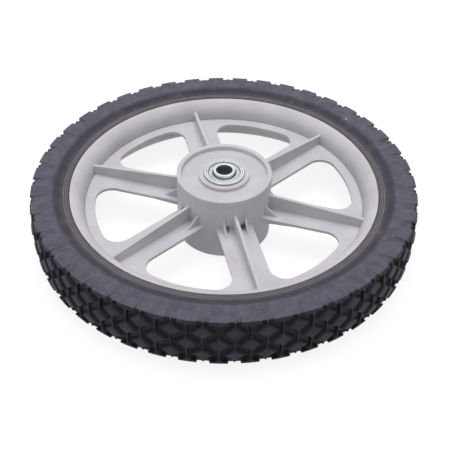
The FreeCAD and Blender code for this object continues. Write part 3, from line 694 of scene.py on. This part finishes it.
def turned_finish():
    """Builds lathe marks: noise of the distance from the axle and the height alone makes rings, and slow
    noise over the surface gives uneven plate. Rings is the fine mark's height, Tone the slow mask."""
    inputs = {"Place": "Vector", "Ring Size": "Float"}
    tree, given, result = new_group("turned_finish", inputs, ("Rings", "Tone"))
    out, height = from_axle(tree, given["Place"])
    line = add(tree, "CombineXYZ", {"X": out, "Z": height}).outputs[0]
    tree.links.new(noise(tree, line, given["Ring Size"], 2.0), result["Rings"])
    tree.links.new(ramp(tree, noise(tree, given["Place"], 4.5 * MM), 0.35, 0.65), result["Tone"])
    return tree


turned = turned_finish()
ring_roughness = 0.18


def steel_material(name, bright, dull, shine, ring_size, shaded_circles=()):
    """Turned or pressed steel: plate that varies between two tones, with rings in bump and roughness, and
    dark circles of painted shade with some old grease, given by distance from the axle, half width and
    strength."""
    material, tree, shader, place = new_material(name)
    finish = place_group(tree, turned, {"Place": place, "Ring Size": ring_size})
    colour = blend(tree, finish["Tone"], dull, bright)
    out = from_axle(tree, place)[0]
    for circle, half_width, strength in shaded_circles:
        # Painted shade, with some old grease, along each circle.
        circle_shade = line_at(tree, out, circle * MM, half_width * MM)
        colour = tint(tree, colour, dark_grease_and_shade, circle_shade, strength)
    tree.links.new(colour, shader["Base Color"])
    shader["Metallic"].default_value = 1.0
    rough = scaled(tree, finish["Rings"], ring_roughness, shine - ring_roughness / 2)
    tree.links.new(rough, shader["Roughness"])
    bump = add(tree, "Bump", {"Height": finish["Rings"], "Strength": 0.3, "Distance": 0.02 * MM})
    tree.links.new(bump.outputs[0], shader["Normal"])
    return material


def nylon_material():
    """Tan nylon with the mould's grain and a slightly oily sheen."""
    material, tree, shader, place = new_material("cage_nylon")
    skin = place_group(tree, moulded, {"Place": place, "Grain Size": 0.3 * MM, "Wave Size": 4 * MM})
    tree.links.new(blend(tree, skin["Cloud"], nylon_tan_dark, nylon_tan), shader["Base Color"])
    tree.links.new(scaled(tree, skin["Cloud"], gain=0.1, base=0.3), shader["Roughness"])
    bump = add(tree, "Bump", {"Height": skin["Height"], "Strength": 0.2, "Distance": 0.02 * MM})
    tree.links.new(bump.outputs[0], shader["Normal"])
    return material


# Dark circles of painted shade with some old grease, in the gaps, the crimp groove and under the flange's
# outer edge, each by distance from the axle and half width in millimetres, and strength.
flange_dark_circles = ((15.9, 0.6, 0.5), (14.18, 0.45, 0.5), (12.6, 0.5, 0.7))
shield_dark_circles = ((12.5, 0.5, 0.7), (8.85, 1.1, 0.8))
zinc_plate = steel_material("zinc_plated_ring", zinc_bright, zinc_dull, 0.3, 0.25 * MM, flange_dark_circles)
ground_steel = steel_material("ground_ring", zinc_bright, zinc_dull, 0.26, 0.2 * MM)
pressed_shield = steel_material("pressed_shield", shield_bright, shield_dull, 0.4, 0.4 * MM, shield_dark_circles)
polished_steel = steel_material("polished_ball", ball_bright, zinc_dull, 0.14, 0.5 * MM)
cage_nylon = nylon_material()

inward_shield = shield_section - np.array([0, inner_shield_drop, 0])
for end, side, corner in (("upper", 1, 1), ("lower", -1, 0)):
    flange_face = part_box(f"{end}_outer_ring")[corner][2]
    for kind, corners, finish, body, slot in (
            ("outer_ring", outer_ring_section, zinc_plate, "wheel_and_tyre", "bearing_steel"),
            ("inner_ring", inner_ring_section, ground_steel, f"{end}_inner_race", "bearing_steel"),
            ("outer_shield", shield_section, pressed_shield, "wheel_and_tyre", "shield_steel"),
            ("inner_shield", inward_shield, pressed_shield, "wheel_and_tyre", "shield_steel")):
        section = rounded_section(corners)[::side] * np.array([1, side]) + np.array([0, flange_face])
        ring = turned_ring(f"{end}_{kind}_turned", section)
        ring.data.materials.append(finish)
        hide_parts(f"{end}_{kind}")
        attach(ring, body)
for name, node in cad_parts.items():
    if "ball" in name:
        node.data.materials.clear()
        node.data.materials.append(cage_nylon if "cage" in name else polished_steel)

# Studio
# The wheel lies on a plain white floor under a large soft light above and behind it, with white light
# from all round. The camera stands where the photograph was taken from.

floor_level = cad_box[0][2]
floor_half = 8.0
floor_glow = 0.87
paper_white = srgb(244, 244, 244)
paper_shade, paper_shade_pale = srgb(121, 121, 123), srgb(125, 125, 127)
plain_white = (1.0, 1.0, 1.0, 1.0)


def seen_directly(tree):
    """Mask of the rays that show a surface: from the camera, in a reflection or through clear material."""
    rays = add(tree, "LightPath").outputs
    seen = larger(tree, rays["Is Camera Ray"], rays["Is Glossy Ray"])
    return larger(tree, seen, rays["Is Transmission Ray"])


def floor_material():
    """White paper. It returns light to the wheel as white. Where it is seen, a darker tone keeps a soft
    shadow, and light of its own brings the tone up to white."""
    material, tree, shader, place = new_material("studio_floor")
    seen = seen_directly(tree)
    paper = noise(tree, place, 4 * MM)
    tone = blend(tree, paper, paper_shade, paper_shade_pale)
    tree.links.new(blend(tree, seen, paper_white, tone), shader["Base Color"])
    shader["Roughness"].default_value = 0.9
    shader["Specular IOR Level"].default_value = 0.0
    shader["Emission Color"].default_value = plain_white
    tree.links.new(times(tree, seen, floor_glow), shader["Emission Strength"])
    return material


floor_mesh = bpy.data.meshes.new("studio_floor")
floor_corners = floor_half * np.array([[-1, -1, 0], [1, -1, 0], [1, 1, 0], [-1, 1, 0]]) + [0, 0, floor_level]
floor_mesh.from_pydata(floor_corners, [], [(0, 1, 2, 3)])
floor_mesh.materials.append(floor_material())
studio_floor = bpy.data.objects.new("studio_floor", floor_mesh)
bpy.context.collection.objects.link(studio_floor)

sky_light = 0.42
sky_tint = (0.96, 0.98, 1.0, 1.0)
world = bpy.data.worlds.new("studio_world")
bpy.context.scene.world = world
world.use_nodes = True
sky = world.node_tree
backdrop = sky.nodes["Background"]
in_view = seen_directly(sky)
sky.links.new(blend(sky, in_view, sky_tint, plain_white), backdrop.inputs["Color"])
sky.links.new(scaled(sky, in_view, 1 - sky_light, sky_light), backdrop.inputs["Strength"])


def soft_light(name, place, width, height, power):
    """Adds a rectangular light that faces the wheel's middle. Metal shows the white room, not the lamp."""
    lamp = bpy.data.lights.new(name, "AREA")
    lamp.shape = "RECTANGLE"
    lamp.size, lamp.size_y = width, height
    lamp.energy = power
    item = bpy.data.objects.new(name, lamp)
    item.visible_glossy = False
    item.location = place
    item.rotation_euler = (-Vector(place)).to_track_quat("-Z", "Y").to_euler()
    bpy.context.collection.objects.link(item)


soft_light("top_light", (0.0, 0.2, 1.5), width=1.2, height=1.1, power=17.0)
soft_light("left_light", (-1.5, -0.5, 0.4), width=0.9, height=0.6, power=2.2)

camera_place = Vector((0.10, -558.19, 467.20)) * MM
camera_azimuth, camera_elevation, camera_roll = np.radians([0.1877, 41.4776, -0.7815])
lens = bpy.data.cameras.new("photo_camera")
lens.sensor_width = 36.0
lens.lens = 72.339
camera = bpy.data.objects.new("photo_camera", lens)
forward = Vector((np.sin(camera_azimuth) * np.cos(camera_elevation),
                  np.cos(camera_azimuth) * np.cos(camera_elevation), -np.sin(camera_elevation)))
level_right = forward.cross(Vector((0, 0, 1))).normalized()
level_up = level_right.cross(forward)
right = level_right * np.cos(camera_roll) - level_up * np.sin(camera_roll)
up = level_up * np.cos(camera_roll) + level_right * np.sin(camera_roll)
camera.matrix_world = Matrix.Translation(camera_place) @ Matrix((right, up, -forward)).transposed().to_4x4()
bpy.context.collection.objects.link(camera)
bpy.context.scene.camera = camera
bpy.context.scene.view_settings.view_transform = "Standard"
